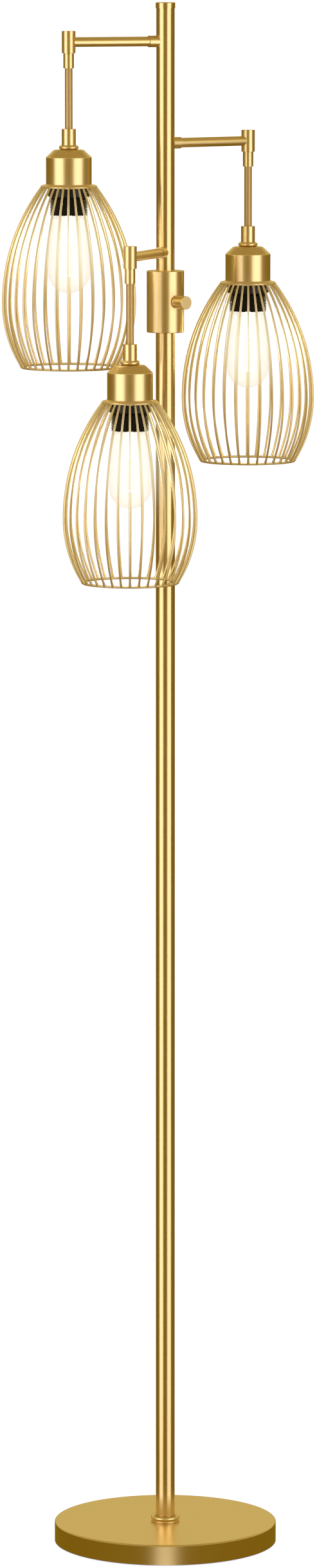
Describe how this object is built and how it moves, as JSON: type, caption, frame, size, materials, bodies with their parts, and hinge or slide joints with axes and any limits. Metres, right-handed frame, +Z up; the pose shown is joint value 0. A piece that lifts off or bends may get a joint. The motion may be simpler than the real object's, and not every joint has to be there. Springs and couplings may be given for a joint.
{
  "type": "wire cage floor lamp",
  "caption": "Floor lamp: a slim pole on a round weighted base carries short arms at different heights, each with a bulb hanging in a flared wire cage.",
  "frame": {"origin": "centre of the base's resting face, on the pole's axis", "axes": "+Z up along the pole; the pictured front looks towards -Y, and +X is the viewer's right"},
  "size_m": [0.3251, 0.3002, 1.626],
  "materials": {
    "satin_gold": "satin lacquered brass",
    "base_iron": "as cast, painted",
    "foot_pad": "matt",
    "black_trim": "matt",
    "black_socket": "glossy",
    "dimmer_case": "moulded",
    "zinc_steel": "zinc plated",
    "lead_insulation": "smooth",
    "contact_brass": "bare",
    "bulb_cap_metal": "bare",
    "bulb_glass": "clear",
    "filament": "glowing when lit"
  },
  "bodies": {
    "stand": {"base_pad": "foot_pad", "base_weight": "base_iron", "base_cover": "satin_gold", "base_bead": "satin_gold", "cord_bush": "black_trim", "pole_tubes": "satin_gold", "pole_joiners": "zinc_steel", "lock_nuts": "zinc_steel", "upper_tube": "satin_gold", "pole_cap": "satin_gold", "switch_housing": "satin_gold", "housing_lid": "satin_gold", "dimmer_body": "dimmer_case", "arm_tubes": "satin_gold", "arm_fittings": "satin_gold", "arm_tees": "satin_gold", "tee_plugs": "satin_gold", "wiring": "lead_insulation"},
    "knob": {"dimmer_shaft": "zinc_steel", "dimmer_knob": "satin_gold"},
    "head_1": {"swivel_sleeve_1": "satin_gold", "drop_rod_1": "satin_gold", "drop_coupler_1": "satin_gold", "socket_cap_1": "satin_gold", "cage_1": "satin_gold", "cage_ring_1": "satin_gold", "socket_body_1": "black_socket", "socket_ring_1": "black_socket", "socket_contacts_1": "contact_brass", "drop_lead_1": "lead_insulation"},
    "bulb_1": {"bulb_cap_1": "bulb_cap_metal", "bulb_glass_1": "bulb_glass", "bulb_filament_1": "filament"},
    "head_2": {"swivel_sleeve_2": "satin_gold", "drop_rod_2": "satin_gold", "drop_coupler_2": "satin_gold", "socket_cap_2": "satin_gold", "cage_2": "satin_gold", "cage_ring_2": "satin_gold", "socket_body_2": "black_socket", "socket_ring_2": "black_socket", "socket_contacts_2": "contact_brass", "drop_lead_2": "lead_insulation"},
    "bulb_2": {"bulb_cap_2": "bulb_cap_metal", "bulb_glass_2": "bulb_glass", "bulb_filament_2": "filament"},
    "head_3": {"swivel_sleeve_3": "satin_gold", "drop_rod_3": "satin_gold", "drop_coupler_3": "satin_gold", "socket_cap_3": "satin_gold", "cage_3": "satin_gold", "cage_ring_3": "satin_gold", "socket_body_3": "black_socket", "socket_ring_3": "black_socket", "socket_contacts_3": "contact_brass", "drop_lead_3": "lead_insulation"},
    "bulb_3": {"bulb_cap_3": "bulb_cap_metal", "bulb_glass_3": "bulb_glass", "bulb_filament_3": "filament"}
  },
  "joints": [
    {"name": "dimmer_knob_turn", "type": "hinge", "parent": "stand", "child": "knob", "pos_m": [0.01171, -0.01553, 1.3169], "axis": [0.6018, -0.7986, 0], "range_deg": [0, 270]},
    {"name": "head_1_swivel", "type": "hinge", "parent": "stand", "child": "head_1", "pos_m": [-0.0998, -0.03573, 1.5859], "axis": [0, 0, 1], "range_deg": [-175, 175]},
    {"name": "bulb_1_unscrew", "type": "slide", "parent": "head_1", "child": "bulb_1", "axis": [0, 0, -1], "range_m": [0, 0.03]},
    {"name": "head_2_swivel", "type": "hinge", "parent": "stand", "child": "head_2", "pos_m": [0.08651, 0.06125, 1.4809], "axis": [0, 0, 1], "range_deg": [-175, 175]},
    {"name": "bulb_2_unscrew", "type": "slide", "parent": "head_2", "child": "bulb_2", "axis": [0, 0, -1], "range_m": [0, 0.03]},
    {"name": "head_3_swivel", "type": "hinge", "parent": "stand", "child": "head_3", "pos_m": [-0.03643, -0.09954, 1.3679], "axis": [0, 0, 1], "range_deg": [-175, 175]},
    {"name": "bulb_3_unscrew", "type": "slide", "parent": "head_3", "child": "bulb_3", "axis": [0, 0, -1], "range_m": [0, 0.03]}
  ]
}
